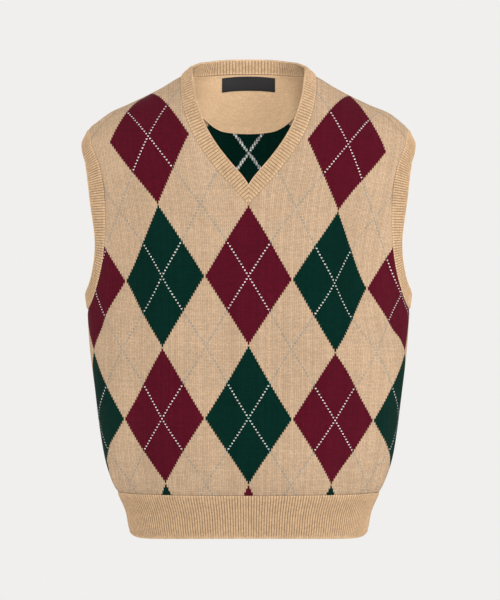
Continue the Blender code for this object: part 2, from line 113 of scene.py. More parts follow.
BODY_SQUARENESS = 2.3
SHOULDER_CURVE = 0.090
SHOULDER_ROLL = {FRONT: 0.090, BACK: 0.080}

SHOULDER_COLUMNS = 48  # steps along each edge of half a panel
BACK_NECK_COLUMNS = 22
SIDE_ROWS = 48
ARMHOLE_ROWS = 64
V_ROWS = 52
EVENING_ROUNDS = 900
NECK_STEPS = 500  # along half the neck seam's front, and its back
ARMHOLE_FRONT_POINTS = 700
ARMHOLE_BACK_POINTS = 1000
HEM_POINTS = 1501
POINTS_ON_RIB = 8
POINTS_ON_NECK_RIB = 10
NECK_OUT_ROUNDS = 200  # of smoothing
NECK_LEAN_ROUNDS = 160
ARMHOLE_ROUNDS = 60
WELD_GRID = 2e4  # places to a metre: points in one place are one
SURFACE_ROUNDS = 12
HALVING_ROUNDS = 50
ARMHOLE_X_RANGE = (0.10, 0.24)

RIPPLE = 0.0012  # soft waves all over a panel
HEM_GATHER = 0.0016  # and closer ones above the hem rib
GATHER_HEIGHT = 0.016
GATHER_WIDTH = 0.028
CALM_WIDTH = 0.012  # over which both die away at a seam

BODY_SECTIONS = (
    # height, half_width, front_depth, back_depth
    (-0.6515, 0.1635, 0.1000, 0.0960),
    (-0.6370, 0.1665, 0.1020, 0.0980),
    (-0.6170, 0.1705, 0.1050, 0.1000),
    (-0.5945, 0.1805, 0.1100, 0.1040),
    (-0.5750, 0.1900, 0.1150, 0.1080),
    (-0.5470, 0.1992, 0.1180, 0.1100),
    (-0.5050, 0.2065, 0.1160, 0.1080),
    (-0.4500, 0.2130, 0.1120, 0.1050),
    (-0.3940, 0.2200, 0.1090, 0.1040),
    (-0.3390, 0.2238, 0.1070, 0.1050),
    (-0.2830, 0.2255, 0.1060, 0.1090),
    (-0.2280, 0.2262, 0.1030, 0.1130),
    (-0.1720, 0.2280, 0.0960, 0.1130),
    (-0.1170, 0.2330, 0.0860, 0.1050),
    (-0.0600, 0.2380, 0.0720, 0.0920),
    (0.0000, 0.2400, 0.0580, 0.0750),
    (0.0600, 0.2400, 0.0480, 0.0620),
)

SHOULDER_LINE = (
    # from_centre, height
    (0.0000, 0.0800),
    (0.0400, 0.0620),
    (0.0640, 0.0280),
    (0.0800, 0.0020),
    (0.0945, -0.0135),
    (0.1035, -0.0195),
    (0.1215, -0.0305),
    (0.1424, -0.0415),
    (0.1660, -0.0527),
    (0.1910, -0.0640),
    (0.2070, -0.0748),
    (0.2222, -0.0870),
    (0.2400, -0.1050),
)

ARMHOLE_FLARE = (
    # height, front, back
    (-0.3400, 0.10, 0.10),
    (-0.3150, -0.14, -0.20),
    (-0.2900, -0.24, -0.33),
    (-0.2650, -0.26, -0.40),
    (-0.2420, -0.20, -0.38),
    (-0.2200, -0.05, -0.31),
    (-0.2000, 0.16, -0.22),
    (-0.1800, 0.34, -0.14),
    (-0.1600, 0.30, -0.15),
    (-0.1400, 0.12, -0.20),
    (-0.1200, -0.10, -0.28),
    (-0.1000, -0.26, -0.38),
    (-0.0870, -0.38, -0.40),
)

FOLDS = (
    # side, turn, middle, length, width, lean, depth
    (FRONT, 62.0, -0.372, 0.130, 7.0, 190.0, -0.0045),
    (FRONT, 46.0, -0.345, 0.110, 7.0, 150.0, 0.0022),
    (FRONT, -66.0, -0.365, 0.120, 7.0, -170.0, -0.0030),
    (FRONT, -47.0, -0.560, 0.080, 6.0, 0.0, -0.0032),
    (FRONT, -26.0, -0.565, 0.070, 6.5, 0.0, -0.0022),
    (FRONT, 40.0, -0.562, 0.075, 6.5, 0.0, -0.0026),
    (FRONT, 66.0, -0.558, 0.085, 6.0, 20.0, -0.0034),
    (FRONT, -72.0, -0.556, 0.090, 6.0, -20.0, -0.0030),
    (BACK, 24.0, -0.400, 0.330, 7.5, 25.0, -0.0042),
    (BACK, -30.0, -0.420, 0.300, 7.5, -30.0, -0.0036),
    (BACK, 64.0, -0.360, 0.140, 7.0, 160.0, -0.0046),
    (BACK, -62.0, -0.355, 0.130, 7.0, -170.0, -0.0040),
    (BACK, 50.0, -0.560, 0.085, 6.5, 0.0, -0.0034),
    (BACK, 8.0, -0.562, 0.080, 6.0, 0.0, -0.0028),
    (BACK, -20.0, -0.560, 0.075, 6.5, 0.0, -0.0030),
    (BACK, -56.0, -0.558, 0.085, 6.0, 0.0, -0.0034),
)

# ---------- the chart
# The front's tables are fitted to where the diamonds meet in the photo. The back's are
# a guess, but for what shows through the V.
HALF_DIAMOND = {FRONT: 24.0, BACK: 30.0}  # in wales; its height has twice as many rows
SHOULDER_ROW = 236.0  # of the back, from where it is plain
PULL_SPREAD = 0.035  # from the centre line, by where most of the pull outwards has come in
TAKEN_UP_FROM = 0.105  # from the centre line, where the drawing in below starts
SIDE_FROM = 0.175
TAKE_UP_WIDTH = 0.060
INNER_DROP_WIDTH = 0.12  # over this width a chart drops by its own amount,
OUTER_DROP_WIDTH = 0.08  # and past it, over this one, by its outer amount

FRONT_WALES = (
    # height, wale, pulled_out, left_drop, left_outer_drop, right_drop, right_outer_drop
    (-0.6000, 0.00236, 0.0000, 0.0004, 0.0000, -0.0014, 0.0000),
    (-0.5000, 0.00248, 0.0000, 0.0020, 0.0000, 0.0000, 0.0000),
    (-0.3900, 0.00250, -0.0020, 0.0090, -0.0010, 0.0022, 0.0024),
    (-0.3000, 0.00250, -0.0006, 0.0084, 0.0114, -0.0006, 0.0077),
    (-0.2600, 0.00250, 0.0000, 0.0078, 0.0120, -0.0013, 0.0085),
    (-0.1950, 0.00248, 0.0060, 0.0070, 0.0130, -0.0023, 0.0095),
    (-0.1000, 0.00240, 0.0230, 0.0095, 0.0138, -0.0021, 0.0104),
    (0.0000, 0.00240, 0.0260, 0.0095, 0.0138, -0.0021, 0.0104),
)
BACK_WALES = (
    # height, wale, pulled_out, left_drop, left_outer_drop, right_drop, right_outer_drop
    (-0.6000, 0.00236, 0.0000, 0.0000, 0.0030, 0.0000, 0.0030),
    (-0.5000, 0.00248, 0.0000, -0.0010, 0.0030, 0.0002, 0.0030),
    (-0.3900, 0.00254, 0.0000, -0.0020, 0.0030, 0.0004, 0.0030),
    (-0.2000, 0.00264, 0.0000, -0.0030, 0.0030, 0.0006, 0.0030),
    (-0.1000, 0.00292, 0.0000, -0.0030, 0.0030, 0.0006, 0.0030),
    (0.0000, 0.00292, 0.0000, -0.0030, 0.0030, 0.0006, 0.0030),
)
# By how many wales the chart is drawn in below the arms, and spread at the sides near the hem.
FRONT_TAKEN_UP = (
    # height, left, right, at_the_sides
    (-0.6000, 0.0, 0.0, -7.0),
    (-0.5400, 0.0, 0.0, -7.0),
    (-0.4600, 0.5, 1.5, -2.0),
    (-0.4000, -1.8, 0.0, 0.0),
    (-0.3450, 3.6, 1.0, 0.0),
    (-0.3000, 6.0, 3.4, 0.0),
    (-0.2500, 5.0, 2.5, 0.0),
    (-0.2000, 2.4, 1.0, 0.0),
    (-0.1500, 0.6, 0.0, 0.0),
    (-0.1100, 0.0, 0.0, 0.0),
)
FRONT_ROWS = (
    # along_the_cloth, row
    (-0.0400, -22.0),
    (0.0000, -6.0),
    (0.0150, 0.0),
    (0.1055, 48.0),
    (0.2040, 96.0),
    (0.2980, 144.0),
    (0.3955, 192.0),
    (0.4935, 240.0),
    (0.7000, 342.0),
)
BACK_ROWS = (
    # along_the_cloth, row
    (-0.0600, -88.0),
    (0.1150, 0.0),
    (0.4750, 180.0),
    (0.7000, 292.0),
)


# ---------- the torso surface
def read_table(table, value):
    """A table's columns at these values of its first one, on smooth curves through its rows."""
    rows = np.array(table, float)
    keys, data = rows[:, 0], rows[:, 1:]
    low = np.maximum(np.arange(len(keys)) - 1, 0)
    high = np.minimum(np.arange(len(keys)) + 1, len(keys) - 1)
    slopes = (data[high] - data[low]) / (keys[high] - keys[low])[:, None]
    value = np.clip(value, keys[0], keys[-1])
    at = np.clip(np.searchsorted(keys, value, side="right") - 1, 0, len(keys) - 2)
    span = (keys[at + 1] - keys[at])[..., None]
    share = (value - keys[at])[..., None] / span
    found = (
        data[at] * (1 + 2 * share) * (1 - share) ** 2
        + data[at + 1] * share**2 * (3 - 2 * share)
        + slopes[at] * span * share * (1 - share) ** 2
        - slopes[at + 1] * span * share**2 * (1 - share)
    )
    return np.moveaxis(found, -1, 0)


def unit(vectors):
    return vectors / np.linalg.norm(vectors, axis=-1, keepdims=True)


def pairs(first, second):
    return np.stack(np.broadcast_arrays(first, second), -1)


def bell(value, width):
    """1 where the value is 0, falling to 0 at about twice the width."""
    return np.exp(-((value / width) ** 2))


def body_size(side, height):
    half_width, front, back = read_table(BODY_SECTIONS, height)
    return half_width, np.where(side < 0, front, back)


def ridge_height(x):
    return read_table(SHOULDER_LINE, np.abs(x))[0]


NECK_POINT = ridge_height(NECK_POINT_X)


def reach_of(drop):
    return np.sqrt(drop * drop + 2 * SHOULDER_CURVE * drop)


def drop_of(reach):
    return np.hypot(SHOULDER_CURVE, reach) - SHOULDER_CURVE


def depth_at(side, x, height):
    half_width, depth = body_size(side, height)
    share = np.minimum(1.0, np.abs(x) / half_width)
    across = (1 - share**BODY_SQUARENESS) ** (1 / BODY_SQUARENESS)
    drop = np.maximum(0.0, ridge_height(x) - height)
    roll = np.where(side < 0, SHOULDER_ROLL[FRONT], SHOULDER_ROLL[BACK])
    rolled = np.maximum(0.0, across - drop / roll)
    return depth * np.sqrt(np.maximum(0.0, across**2 - rolled**2))


def fold_depth(side, turn, height):
    moved = np.zeros(np.shape(turn))
    for fold_side, fold_turn, middle, length, width, lean, depth in FOLDS:
        share = np.minimum(1.0, np.abs(height - middle) / (length / 2))
        off = np.degrees(turn) - fold_turn - lean * (height - middle)
        moved += (side == fold_side) * depth * bell(off, width) * (1 - share**2) ** 2
    return moved


def surface(side, turn, climb, folded=True):
    """Points of the cloth's outer face at these coordinates."""
    side, turn, climb = np.broadcast_arrays(side, turn, np.asarray(climb, float))
    mirror = np.where(turn < 0, -1.0, 1.0)
    turn = np.abs(turn)
    side = np.where(turn > np.pi / 2, -side, side)
    turn = np.where(turn > np.pi / 2, np.pi - turn, turn)
    height = RIB_SEAM * (1 - np.minimum(climb, 1.0))
    for _ in range(SURFACE_ROUNDS):
        x = body_size(side, height)[0] * np.sin(turn)
        reach = reach_of(ridge_height(x) - RIB_SEAM) * (1 - climb)
        height = ridge_height(x) - drop_of(reach)
    side = np.where(reach < 0, -side, side)
    half_width, depth = body_size(side, height)
    y = side * depth_at(side, x, height)
    out = pairs(x / half_width**2, y / depth**2)
    out /= np.maximum(np.linalg.norm(out, axis=-1, keepdims=True), 1e-9)
    fold = fold_depth(side, mirror * turn, height) * folded
    return np.stack((mirror * (x + out[..., 0] * fold), y + out[..., 1] * fold, height), -1)


def outward(side, turn, climb):
    step = 1e-3  # in turn and in climb
    across = surface(side, turn + step, climb) - surface(side, turn - step, climb)
    up = surface(side, turn, climb + step) - surface(side, turn, climb - step)
    return unit(np.cross(across, up) * -side)


def coordinates(side, x, y_side, height):
    """The turn and climb of points of the torso, as a piece of this side counts them."""
    half_width, _ = body_size(side, height)
    ridge = ridge_height(x)
    reach = reach_of(np.maximum(0.0, ridge - height))
    reach = np.where(y_side * side < 0, -reach, reach)
    turn = np.arcsin(np.clip(x / half_width, -1, 1))
    return pairs(turn, 1 - reach / reach_of(ridge - RIB_SEAM))


def across_at(side, depth, height):
    """The x of the torso where it stands this far out, at these heights."""
    low, high = (np.full(np.shape(height), x) for x in ARMHOLE_X_RANGE)
    for _ in range(HALVING_ROUNDS):
        middle = (low + high) / 2
        inside = (ridge_height(middle) > height) & (depth_at(side, middle, height) > depth)
        low, high = np.where(inside, middle, low), np.where(inside, high, middle)
    return (low + high) / 2


# ---------- seam lines
def v_seam(share):
    places = ((0.0, V_POINT), V_LOWER_PULL, V_UPPER_PULL, (NECK_POINT_X, NECK_POINT))
    rest = 1 - share
    weights = np.stack((rest**3, 3 * rest**2 * share, 3 * rest * share**2, share**3), -1)
    x, height = np.moveaxis(weights @ np.array(places), -1, 0)
    return coordinates(FRONT, x, FRONT, height)


def back_neck_height(x):
    return BACK_NECK + (NECK_POINT - BACK_NECK) * (np.abs(x) / NECK_POINT_X) ** 3


def back_neck_seam(share):
    x = NECK_POINT_X * np.sin(share * np.pi / 2)
    return coordinates(BACK, x, BACK, back_neck_height(x))


def armhole_seam(side, angle):
    """Turn and climb on the armhole seam, at angles from its top, positive to the front."""
    power = 2 / ARMHOLE_SQUARENESS
    up = np.sign(np.cos(angle)) * np.abs(np.cos(angle)) ** power
    swing = np.where(angle > 0, ARMHOLE_FRONT, ARMHOLE_BACK)
    depth = swing * (1 - ARMHOLE_TAPER * up) * np.abs(np.sin(angle)) ** power
    height = ARMHOLE_MIDDLE + ARMHOLE_HALF_HEIGHT * up
    own_side = np.where(angle > 0, FRONT, BACK)
    return coordinates(side, across_at(own_side, depth, height), own_side, height)


def shoulder_seam(side, share):
    neck_turn = v_seam(1.0)[0]
    tip_turn, tip_climb = armhole_seam(FRONT, SHOULDER_SEAM_ANGLE)
    forward = (1 - tip_climb) * share**1.5
    climb = 1 - forward if side == FRONT else 1 + forward
    return pairs(neck_turn + (tip_turn - neck_turn) * share, climb)


def steps(count):
    return np.linspace(0, 1, count + 1)


def panel_outline(side):
    """The four edges of half a panel: bottom, top, inner and outer."""
    rows = SIDE_ROWS + ARMHOLE_ROWS
    top = shoulder_seam(side, steps(SHOULDER_COLUMNS))
    if side == FRONT:
        neck = v_seam(steps(V_ROWS))
        centre = neck[0] * steps(rows - V_ROWS)[:-1, None]
        inner = np.concatenate((centre, neck))
    else:
        top = np.concatenate((back_neck_seam(steps(BACK_NECK_COLUMNS))[:-1], top))
        inner = top[0] * steps(rows)[:, None]
    bottom = np.array((np.pi / 2, 0.0)) * steps(len(top) - 1)[:, None]
    underarm = coordinates(side, body_size(side, UNDERARM)[0], side, UNDERARM)
    straight = pairs(np.pi / 2, underarm[1] * steps(SIDE_ROWS)[:-1])
    start = np.pi if side == FRONT else -np.pi
    round_it = armhole_seam(side, start + (SHOULDER_SEAM_ANGLE - start) * steps(ARMHOLE_ROWS))
    round_it[0] = (np.pi / 2, underarm[1])
    return bottom, top, inner, np.concatenate((straight, round_it))


def panel_places(side):
    """A grid of turns and climbs over half a panel, blended from its four edges."""
    bottom, top, inner, outer = panel_outline(side)
    t = steps(len(inner) - 1)[:, None, None]
    s = steps(len(bottom) - 1)[None, :, None]
    grid = (1 - t) * bottom[None] + t * top[None] + (1 - s) * inner[:, None] + s * outer[:, None]
    grid -= (1 - s) * ((1 - t) * bottom[0] + t * top[0]) + s * ((1 - t) * bottom[-1] + t * top[-1])
    return even_out(grid)


def even_out(grid):
    """Relaxes a grid inside its edges by Winslow's equations, which keep its cells from folding."""
    scale = np.array((body_size(FRONT, UNDERARM)[0], -RIB_SEAM))
    grid = grid * scale
    for _ in range(EVENING_ROUNDS):
        across = (grid[1:-1, 2:] - grid[1:-1, :-2]) / 2
        up = (grid[2:, 1:-1] - grid[:-2, 1:-1]) / 2
        corner = (grid[2:, 2:] - grid[2:, :-2] - grid[:-2, 2:] + grid[:-2, :-2]) / 4
        a = (up * up).sum(-1, keepdims=True)
        b = (across * up).sum(-1, keepdims=True)
        c = (across * across).sum(-1, keepdims=True)
        sides = a * (grid[1:-1, 2:] + grid[1:-1, :-2]) + c * (grid[2:, 1:-1] + grid[:-2, 1:-1])
        grid[1:-1, 1:-1] = (sides - 2 * b * corner) / (2 * (a + c))
    return grid / scale


# ---------- stitches on the cloth
TABLE_STEP = 0.01  # of height, in metres, and of climb
LOWEST, HIGHEST = -0.66, 0.06  # heights that the table round the torso spans
LOWEST_CLIMB, HIGHEST_CLIMB = -0.1, 1.2
TURN_STEPS = 90


def along(points):
    """Lengths from the first of a line or grid of points, down each column."""
    length = np.zeros(points.shape[:-1])
    length[1:] = np.cumsum(np.linalg.norm(np.diff(points, axis=0), axis=-1), axis=0)
    return length


def length_table(side):
    """Lengths round the torso from the centre line, over height and turn."""
    sine = np.sin(np.pi / 2 * steps(TURN_STEPS))[:, None]
    heights = np.linspace(LOWEST, HIGHEST, round((HIGHEST - LOWEST) / TABLE_STEP) + 1)
    half_width, depth = body_size(side, heights)
    y = depth * (1 - sine**BODY_SQUARENESS) ** (1 / BODY_SQUARENESS)
    return along(pairs(half_width * sine, y)).T


def climb_table(side):
    """Lengths up the cloth from the hem rib's seam, over climb and turn."""
    turns = np.pi / 2 * steps(TURN_STEPS // 2)
    count = round((HIGHEST_CLIMB - LOWEST_CLIMB) / TABLE_STEP)
    climbs = LOWEST_CLIMB + (HIGHEST_CLIMB - LOWEST_CLIMB) * steps(count)
    length = along(surface(side, turns, climbs[:, None], folded=False))
    return length - length[round(-LOWEST_CLIMB / TABLE_STEP)]


def read_grid(grid, row, column):
    """A grid of numbers or points at any rows and columns, between its own."""
    j = np.clip(row.astype(int), 0, grid.shape[0] - 2)
    i = np.clip(column.astype(int), 0, grid.shape[1] - 2)
    t, s = row - j, column - i
    if grid.ndim > 2:
        t, s = t[..., None], s[..., None]
    low = grid[j, i] * (1 - s) + grid[j, i + 1] * s
    return low * (1 - t) + (grid[j + 1, i] * (1 - s) + grid[j + 1, i + 1] * s) * t


def ramp(value, start, width):
    """0 up to the start, 1 from a width past it, and smooth between."""
    share = np.clip((value - start) / width, 0, 1)
    return share**2 * (3 - 2 * share)


def stitches(side, places):
    """The wale and the row of the chart at each turn and climb. Wale 0 is the centre one."""
    turn, climb = places[..., 0], places[..., 1]
    height = surface(side, turn, climb, folded=False)[..., 2]
    share = np.abs(turn) / (np.pi / 2)
    across = read_grid(AROUND[side], (height - LOWEST) / TABLE_STEP, share * TURN_STEPS)
    up = read_grid(UPWARD[side], (climb - LOWEST_CLIMB) / TABLE_STEP, share * (TURN_STEPS // 2))
    own = read_table(FRONT_WALES if side == FRONT else BACK_WALES, height)
    wale, pulled, left_drop, left_outer, right_drop, right_outer = own
    column = (across - pulled * (1 - bell(across, PULL_SPREAD))) / wale
    left = turn > 0
    if side == FRONT:
        taken_left, taken_right, at_sides = read_table(FRONT_TAKEN_UP, height)
        taken_up = np.where(left, taken_left, taken_right)
        column += taken_up * ramp(across, TAKEN_UP_FROM, TAKE_UP_WIDTH)
        column += at_sides * ramp(across, SIDE_FROM, TAKE_UP_WIDTH)
    outer = np.clip((across - INNER_DROP_WIDTH) / OUTER_DROP_WIDTH, 0, 1.3)
    lowered = np.where(left, left_drop, right_drop) * np.clip(across / INNER_DROP_WIDTH, 0, 1)
    lowered += np.where(left, left_outer, right_outer) * outer
    rows = FRONT_ROWS if side == FRONT else BACK_ROWS
    return pairs(np.sign(turn) * column + 0.5, read_table(rows, up + lowered)[0])


AROUND = {side: length_table(side) for side in SIDES}
UPWARD = {side: climb_table(side) for side in SIDES}


def close_steps(count, ends=(1, 1)):
    """Places from 0 to count, a step apart, and closer together at the ends that ask for it."""
    near = [0.0, 0.10, 0.22, 0.36, 0.52, 0.72, 1.0, 1.5]
    first = near if ends[0] else [0.0, 1.0]
    last = [count - place for place in (near if ends[1] else [0.0, 1.0])][::-1]
    return np.array(first + list(range(2, count - 1)) + last)


def read_columns(wanted, at, table):
    """A table's columns, read between its rows."""
    return np.stack([np.interp(wanted, at, column) for column in table.T], -1)


def spread_on(line, wanted, *others):
    """The line, and whatever runs along it, at these lengths from its start."""
    return [read_columns(wanted, along(line), table) for table in (line, *others)]


def distance_to(points, lines):
    """How far each point is from the nearest of these lines."""
    spacing = 0.0008
    dense = np.concatenate([spread_on(l, np.arange(0, along(l)[-1], spacing))[0] for l in lines])
    found = []
    for row in points:
        squares = (row**2).sum(-1)[:, None] + (dense**2).sum(-1) - 2 * row @ dense.T
        found.append(np.sqrt(np.maximum(squares.min(axis=1), 0)))
    return np.array(found)


def add_object(name, data, place=(0.0, 0.0, 0.0)):
    item = bpy.data.objects.new(name, data)
    item.location = place
    bpy.context.scene.collection.objects.link(item)
    return item


def shell(name, patches, right_side, wrong_side):
    """A thin closed piece of cloth that takes its node's place. Patches are grids of
    (key, outer, inner, fabric, trim), welded where their keys meet: fabric counts wales and
    rows, and trim is how far it is to a seam and to a free edge."""
    keys, outer, inner, fabric, trim = (
        np.concatenate([patch[k].reshape(-1, patch[k].shape[-1]) for patch in patches])
        for k in range(5)
    )
    _, first, where = np.unique(
        np.round(keys * WELD_GRID).astype(np.int64), axis=0, return_index=True, return_inverse=True
    )
    count = len(first)
    quads, start = [], 0
    for patch in patches:
        rows, columns = patch[0].shape[:2]
        index = start + np.arange(rows * columns).reshape(rows, columns)
        corners = (index[:-1, :-1], index[:-1, 1:], index[1:, 1:], index[1:, :-1])
        quads.append(np.stack(corners, -1).reshape(-1, 4))
        start += rows * columns
    corners = np.concatenate(quads)
    welded = where.reshape(-1)[corners]
    faces, maps = [], []
    for quad, corner in zip(welded.tolist(), corners.tolist()):
        kept = [k for k in range(4) if quad[k] != quad[k - 1]]
        if len(kept) < 3 or len({quad[k] for k in kept}) < len(kept):
            continue
        faces.append([quad[k] for k in kept])
        maps.append([corner[k] for k in kept])
    used = {}
    for face, own in zip(faces, maps):
        for k in range(len(face)):
            edge = (face[k - 1], face[k])
            used.setdefault(tuple(sorted(edge)), []).append((edge, (own[k - 1], own[k])))
    rims = [uses[0] for uses in used.values() if len(uses) == 1]
    sides = [0] * len(faces) + [1] * len(faces) + [0] * len(rims)
    faces += [[corner + count for corner in face[::-1]] for face in faces]
    maps += [own[::-1] for own in maps]
    faces += [[b, a, a + count, b + count] for (a, b), _ in rims]
    maps += [[b, a, a, b] for _, (a, b) in rims]
    mesh = bpy.data.meshes.new(name)
    mesh.from_pydata(np.concatenate((outer[first], inner[first])).tolist(), [], faces)
    corners = [corner for own in maps for corner in own]
    for layer, values in (("fabric", fabric), ("trim", trim * 1000)):  # trim in millimetres
        mesh.uv_layers.new(name=layer).data.foreach_set("uv", values[corners].ravel())
    mesh.materials.append(right_side)
    mesh.materials.append(wrong_side)
    mesh.polygons.foreach_set("material_index", sides)
    mesh.polygons.foreach_set("use_smooth", [True] * len(faces))
    work = bmesh.new()
    work.from_mesh(mesh)
    bmesh.ops.recalc_face_normals(work, faces=work.faces[:])
    work.to_mesh(mesh)
    work.free()
    mesh.set_sharp_from_angle(angle=math.radians(60))
    piece = add_object(name, mesh)
    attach(piece, "root")
    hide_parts(name)


# ---------- front and back
def ripple_depth(side, turn, height):
    """Small soft waves, and closer ones where the hem rib draws the cloth in."""
    own = 0.0 if side == FRONT else 2.1
    slow = np.sin(5.3 * turn + 11 * height + own) * np.sin(17 * height - 2.9 * turn + 2 * own)
    slow += 0.6 * np.sin(9.1 * turn - 21 * height + 1.3 + own) * np.sin(31 * height + 4 * turn)
    near = bell(height - RIB_SEAM - GATHER_HEIGHT, GATHER_WIDTH)
    close = np.sin(34 * turn + 3 * np.sin(5 * turn + own)) * (0.6 + 0.4 * np.sin(8 * turn + own))
    return RIPPLE * slow + HEM_GATHER * near * close


def panel_grids(side):
    """Both halves of a panel: grids of (key, outer, inner, fabric, trim), and their outward."""
    places = panel_places(side)
    ends = (1, 1) if side == FRONT else (0, 1)
    rows, columns = close_steps(len(places) - 1), close_steps(places.shape[1] - 1, ends)
    places = read_grid(places, rows[:, None], columns[None])
    split = np.searchsorted(rows, SIDE_ROWS + ARMHOLE_ROWS - V_ROWS)
    halves, lines = {}, []
    for sign in (1.0, -1.0):
        own = places * (sign, 1.0)
        points = surface(side, own[..., 0], own[..., 1])
        halves[sign] = (own, points)
        lines += [points[0], points[-1], points[:, -1]]
        if side == FRONT:
            lines.append(points[split:, 0])
    grids = {}
    for sign, (own, points) in halves.items():
        out = outward(side, own[..., 0], own[..., 1])
        away = distance_to(points, lines)
        ripple = ripple_depth(side, own[..., 0], points[..., 2])
        lift = ripple * (1 - bell(away, CALM_WIDTH)) - SEAM_DIP * bell(away, SEAM_DIP_WIDTH)
        outer, trim = points + out * lift[..., None], pairs(away, away)
        grids[sign] = (points, outer, outer - out * WALL, stitches(side, own), trim, out)
    return grids


def panel(side, name):
    grids = panel_grids(side)
    patches = [grid[:5] for grid in grids.values()]
    shell(name, patches, ARGYLE[side], ARGYLE_INSIDE[side])
    return grids


# ---------- ribbed bands
def rib_profile(rib):
    """1 on the back of each rib, and 0 in the grooves at whole numbers."""
    return np.abs(np.sin(np.pi * rib)) ** 0.8


def round_edge(share):
    """A half round from share 0 to share 1, and flat past it."""
    return np.sqrt(np.maximum(0.0, 1 - (2 * share - 1) ** 2)) * (share < 1)


def ribbed(flat, out, far, left, rib, relief, bead, fade):
    """A grid of (key, outer, inner, fabric, trim) of ribbed cloth, at these distances from
    its seam and from its free edge."""
    sewn = bell(far, SEWN_WIDTH)
    own = relief * (1 - sewn) * np.clip((left - bead) / fade, 0, 1)
    edge = BEAD_RELIEF * round_edge(np.clip(left / bead, 0, 1))
    lift = own * (rib_profile(rib) - 0.5) + edge - SEAM_DIP * sewn
    under = own * (rib_profile(rib + 0.5) - 0.5) + edge + SEAM_DIP * sewn
    outer, inner = flat + out * lift[..., None], flat - out * (WALL + under)[..., None]
    return flat, outer, inner, pairs(rib, far / ROW_ON_RIB), pairs(far, left)


BAND_ROWS = (0, 0.03, 0.08, 0.16, 0.30, 0.44, 0.58, 0.72, 0.84, 0.90, 0.925, 0.95, 0.975, 1)


def band(rim, lean, out, width, rib, full):
    """A ribbed strip from its seam to its free edge. It stops at width, short of its full
    width, where it meets its other half."""
    far = np.array(BAND_ROWS)[:, None] * width
    return ribbed(rim + lean * far[..., None], out, far, full - far, rib, **BAND_RIB)


def smooth_along(values, rounds, closed=False):
    for _ in range(rounds):
        even = (np.roll(values, 1, 0) + 2 * values + np.roll(values, -1, 0)) / 4
        if not closed:
            even[[0, -1]] = values[[0, -1]]
        values = even
    return values


def rib_places(seam, pitch, points_on_rib):
    """Lengths along a seam, at even steps across its ribs, and the same counted in ribs."""
    length = along(seam)[-1]
    ribs = round(length / pitch)
    wanted = np.linspace(0, length, ribs * points_on_rib + 1)
    return wanted, wanted / length * ribs


def on_both(front, back):
    """Points, and their outward, along a seam on the front and then on the back."""
    parts = [(FRONT, *front.T), (BACK, *back.T)]
    return tuple(np.concatenate([read(*part) for part in parts]) for read in (surface, outward))


def neck_line(sign):
    """Half the neck seam, from the V's point to the middle of the back, and its outward."""
    share = steps(NECK_STEPS)
    front = v_seam(share) * (sign, 1.0)
    back = back_neck_seam(share[-2::-1]) * (sign, 1.0)
    points, outs = on_both(front, back)
    outs = smooth_along(outs, NECK_OUT_ROUNDS)
    outs[(0, -1), 0] = 0.0
    return points, unit(outs)


def neck_band():
    """The band in two halves, which are mitred where they cross at the point of the V."""
    patches = []
    for sign in (1.0, -1.0):
        points, outs = neck_line(sign)
        wanted, rib = rib_places(points, NECK_RIB_PITCH, POINTS_ON_NECK_RIB)
        points, outs = spread_on(points, wanted, outs)
        outs = unit(outs)
        tangent = unit(np.gradient(points, axis=0))
        lean = unit(np.cross(outs, tangent)) * sign
        lean[-1, 0] = 0.0
        lean = unit(smooth_along(lean, NECK_LEAN_ROUNDS))
        near = bell(np.linalg.norm(points - points[0], axis=-1), V_POINT_SPREAD)
        full = NECK_BAND_WIDTH * (1 - V_POINT_NARROWING * near)
        end = points + lean * full[:, None]
        crossing = end[:, 0] * sign < 0
        share = points[:, 0] / np.where(crossing, points[:, 0] - end[:, 0], 1.0)
        width = np.where(crossing, full * np.abs(share), full)
        patches.append(band(points, lean, outs, width, rib + 0.5, full))
    shell("neck_band", patches, TAN_RIB, TAN_RIB_INSIDE)


def armhole_band(sign, name):
    """A band round an armhole, which leans in or out of the torso's surface by its flare."""
    angle = np.linspace(SHOULDER_SEAM_ANGLE, np.pi, ARMHOLE_FRONT_POINTS)
    front = armhole_seam(FRONT, angle) * (sign, 1.0)
    angle = np.linspace(-np.pi, SHOULDER_SEAM_ANGLE, ARMHOLE_BACK_POINTS)[1:]
    back = armhole_seam(BACK, angle) * (sign, 1.0)
    points, outs = on_both(front, back)
    points[-1] = points[0]
    wanted, rib = rib_places(points, ARMHOLE_RIB_PITCH, POINTS_ON_RIB)
    points, outs = spread_on(points, wanted, outs)
    outs = unit(smooth_along(outs[:-1], ARMHOLE_ROUNDS, closed=True))
    points = points[:-1]
    tangent = unit(np.roll(points, -1, 0) - np.roll(points, 1, 0))
    ahead = np.cross(outs, tangent) * sign
    ahead = unit(smooth_along(unit(ahead), ARMHOLE_ROUNDS, closed=True))
    front_flare, back_flare = read_table(ARMHOLE_FLARE, points[:, 2])
    share = np.clip(0.5 + points[:, 1] / ARMHOLE_FLARE_TURN, 0, 1)
    flare = (front_flare + (back_flare - front_flare) * share)[:, None]
    lean, outs = unit(ahead + outs * flare), unit(outs - ahead * flare)
    points, lean, outs = (np.concatenate((v, v[:1])) for v in (points, lean, outs))
    width = np.full(len(points), ARMHOLE_BAND_WIDTH)
    strip = band(points, lean, outs, width, rib, width)
    shell(name, [strip], TAN_RIB, TAN_RIB_INSIDE)


